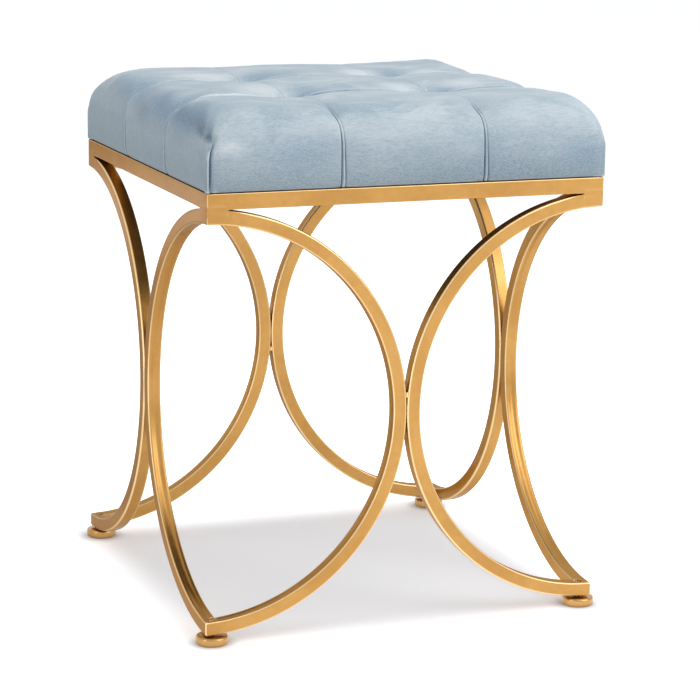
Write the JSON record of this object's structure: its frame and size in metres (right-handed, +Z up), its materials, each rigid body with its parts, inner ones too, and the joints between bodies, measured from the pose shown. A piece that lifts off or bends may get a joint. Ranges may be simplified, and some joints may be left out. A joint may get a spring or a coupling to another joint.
{
  "type": "stool",
  "caption": "Square stool with a tufted velvet seat on a frame of bent square tube, whose back-to-back arcs form an X on each side.",
  "frame": {"origin": "on the floor under the middle of the seat", "axes": "+X to the right of the front face in the picture, +Y to the back, +Z up"},
  "size_m": [0.412, 0.412, 0.5077],
  "materials": {
    "gold_frame": "satin",
    "zinc": "satin",
    "plywood": "matte",
    "dust_cloth": "matte",
    "foam": "matte",
    "velvet": "satin",
    "twine": "matte"
  },
  "bodies": {
    "frame": {"arc_front_left": "gold_frame", "arc_front_right": "gold_frame", "arc_back_left": "gold_frame", "arc_back_right": "gold_frame", "arc_left_front": "gold_frame", "arc_left_back": "gold_frame", "arc_right_front": "gold_frame", "arc_right_back": "gold_frame", "rail_front": "gold_frame", "rail_back": "gold_frame", "rail_left": "gold_frame", "rail_right": "gold_frame", "weld_front": "gold_frame", "weld_back": "gold_frame", "weld_left": "gold_frame", "weld_right": "gold_frame", "corner_tab_front_left": "gold_frame", "corner_tab_front_right": "gold_frame", "corner_tab_back_right": "gold_frame", "corner_tab_back_left": "gold_frame", "foot_bush_front_left": "zinc", "seat_screw_front_left": "zinc", "tee_nut_front_left": "zinc", "foot_bush_front_right": "zinc", "seat_screw_front_right": "zinc", "tee_nut_front_right": "zinc", "foot_bush_back_right": "zinc", "seat_screw_back_right": "zinc", "tee_nut_back_right": "zinc", "foot_bush_back_left": "zinc", "seat_screw_back_left": "zinc", "tee_nut_back_left": "zinc", "seat_board": "plywood", "dust_cover": "dust_cloth", "seat_foam": "foam", "seat_cover": "velvet", "tuft_tie_front_left": "twine", "tuft_tie_front_right": "twine", "tuft_tie_back_left": "twine", "tuft_tie_back_right": "twine"},
    "stud_front_left": {"foot_stud_front_left": "zinc"},
    "disc_front_left": {"foot_disc_front_left": "gold_frame"},
    "stud_front_right": {"foot_stud_front_right": "zinc"},
    "disc_front_right": {"foot_disc_front_right": "gold_frame"},
    "stud_back_right": {"foot_stud_back_right": "zinc"},
    "disc_back_right": {"foot_disc_back_right": "gold_frame"},
    "stud_back_left": {"foot_stud_back_left": "zinc"},
    "disc_back_left": {"foot_disc_back_left": "gold_frame"}
  },
  "joints": [
    {"name": "foot_height_front_left", "type": "slide", "parent": "frame", "child": "stud_front_left", "axis": [0, 0, 1], "range_m": [-0.005, 0.001]},
    {"name": "foot_turn_front_left", "type": "hinge", "parent": "stud_front_left", "child": "disc_front_left", "pos_m": [-0.1905, -0.1905, 0.0043], "axis": [0, 0, 1], "range_deg": [-1800, 360]},
    {"name": "foot_height_front_right", "type": "slide", "parent": "frame", "child": "stud_front_right", "axis": [0, 0, 1], "range_m": [-0.005, 0.001]},
    {"name": "foot_turn_front_right", "type": "hinge", "parent": "stud_front_right", "child": "disc_front_right", "pos_m": [0.1905, -0.1905, 0.0043], "axis": [0, 0, 1], "range_deg": [-1800, 360]},
    {"name": "foot_height_back_right", "type": "slide", "parent": "frame", "child": "stud_back_right", "axis": [0, 0, 1], "range_m": [-0.005, 0.001]},
    {"name": "foot_turn_back_right", "type": "hinge", "parent": "stud_back_right", "child": "disc_back_right", "pos_m": [0.1905, 0.1905, 0.0043], "axis": [0, 0, 1], "range_deg": [-1800, 360]},
    {"name": "foot_height_back_left", "type": "slide", "parent": "frame", "child": "stud_back_left", "axis": [0, 0, 1], "range_m": [-0.005, 0.001]},
    {"name": "foot_turn_back_left", "type": "hinge", "parent": "stud_back_left", "child": "disc_back_left", "pos_m": [-0.1905, 0.1905, 0.0043], "axis": [0, 0, 1], "range_deg": [-1800, 360]}
  ],
  "couplings": [
    {"joint": "foot_height_front_left", "follows": "foot_turn_front_left", "m_per_rad": 0.00015915},
    {"joint": "foot_height_front_right", "follows": "foot_turn_front_right", "m_per_rad": 0.00015915},
    {"joint": "foot_height_back_right", "follows": "foot_turn_back_right", "m_per_rad": 0.00015915},
    {"joint": "foot_height_back_left", "follows": "foot_turn_back_left", "m_per_rad": 0.00015915}
  ]
}
